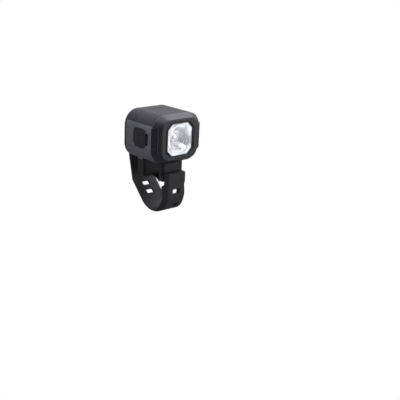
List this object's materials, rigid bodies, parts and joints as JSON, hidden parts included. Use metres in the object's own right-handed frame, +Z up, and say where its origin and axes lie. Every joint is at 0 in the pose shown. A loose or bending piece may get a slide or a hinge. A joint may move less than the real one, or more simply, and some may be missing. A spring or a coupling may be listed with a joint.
{
  "type": "bike headlight",
  "caption": "Box-shaped bike headlight on a swivelling bracket that a rubber strap holds to a handlebar, with squeeze latches, a charging port cover and a power button.",
  "frame": {"origin": "centre of the handlebar clamp, on the bar's axis midway across the strap", "axes": "+X along the handlebar to the rider's left, +Z up, the light shines towards -Y"},
  "size_m": [0.0572, 0.0586, 0.093],
  "materials": {
    "housing": "smooth moulded dark grey, slight sheen",
    "window": "clear polycarbonate pane",
    "optic": "clear moulded lens with facets",
    "seal": "black gasket",
    "emitter": "yellow phosphor on a white base",
    "circuit_board": "solder mask with copper tracks",
    "sink": "extruded, bare",
    "screw": "black oxide",
    "spring_steel": "spring strip and plated shell",
    "contact_block": "black connector plastic",
    "latch": "ribbed black grip",
    "pack_shell": "smooth dark grey",
    "cover_grain": "fine leather grain",
    "panel": "smooth mid grey satin",
    "port_rubber": "soft black rubber",
    "holder": "natural grey moulding",
    "cell": "sleeved metal can",
    "cap": "black satin",
    "button": "soft touch",
    "foot": "black",
    "bracket": "fine spark texture, dark grey",
    "pad": "soft black rubber",
    "strap": "matte silicone, dark grey",
    "pin": "black"
  },
  "bodies": {
    "bracket": {"bracket": "bracket", "bracket_pad": "pad", "strap": "strap", "strap_pin": "pin", "swivel_washer": "spring_steel"},
    "lamp": {"front_housing": "housing", "window": "window", "window_seal": "seal", "optic": "optic", "emitter": "emitter", "emitter_board": "circuit_board", "heat_sink": "sink", "head_screws": "screw", "driver_board": "circuit_board", "head_plug": "contact_block", "pack_contacts": "contact_block", "latch_spring_left": "spring_steel", "latch_spring_right": "spring_steel", "lower_shell": "pack_shell", "top_cover": "cover_grain", "side_panel_left": "panel", "side_panel_right": "panel", "cell_holder": "holder", "battery_cells": "cell", "charge_board": "circuit_board", "charge_socket": "spring_steel", "rear_cap": "cap", "rear_seal": "seal", "cap_screws": "screw", "status_guides": "optic", "button_board": "circuit_board", "button_switch": "contact_block", "swivel_foot": "foot", "swivel_screw": "screw", "swivel_nut": "spring_steel"},
    "latch_left": {"latch_left": "latch"},
    "latch_right": {"latch_right": "latch"},
    "port_cover": {"port_cover": "port_rubber"},
    "power_button": {"power_button": "button"}
  },
  "joints": [
    {"name": "swivel", "type": "hinge", "parent": "bracket", "child": "lamp", "pos_m": [0, 0, 0.029], "axis": [0, 0, 1], "range_deg": [-20, 20]},
    {"name": "latch_left_press", "type": "slide", "parent": "lamp", "child": "latch_left", "axis": [-1, 0, 0], "range_m": [0, 0.001], "stiffness_N_per_m": 1200, "springref_m": -0.001, "deforming": ["latch_spring_left"]},
    {"name": "latch_right_press", "type": "slide", "parent": "lamp", "child": "latch_right", "axis": [1, 0, 0], "range_m": [0, 0.001], "stiffness_N_per_m": 1200, "springref_m": -0.001, "deforming": ["latch_spring_right"]},
    {"name": "port_cover_hinge", "type": "hinge", "parent": "lamp", "child": "port_cover", "pos_m": [-0.028, 0.0081, 0.0527], "axis": [0, 0, -1], "range_deg": [0, 100]},
    {"name": "power_press", "type": "slide", "parent": "lamp", "child": "power_button", "axis": [0, -1, 0], "range_m": [0, 0.0005], "stiffness_N_per_m": 1500, "springref_m": -0.001}
  ]
}
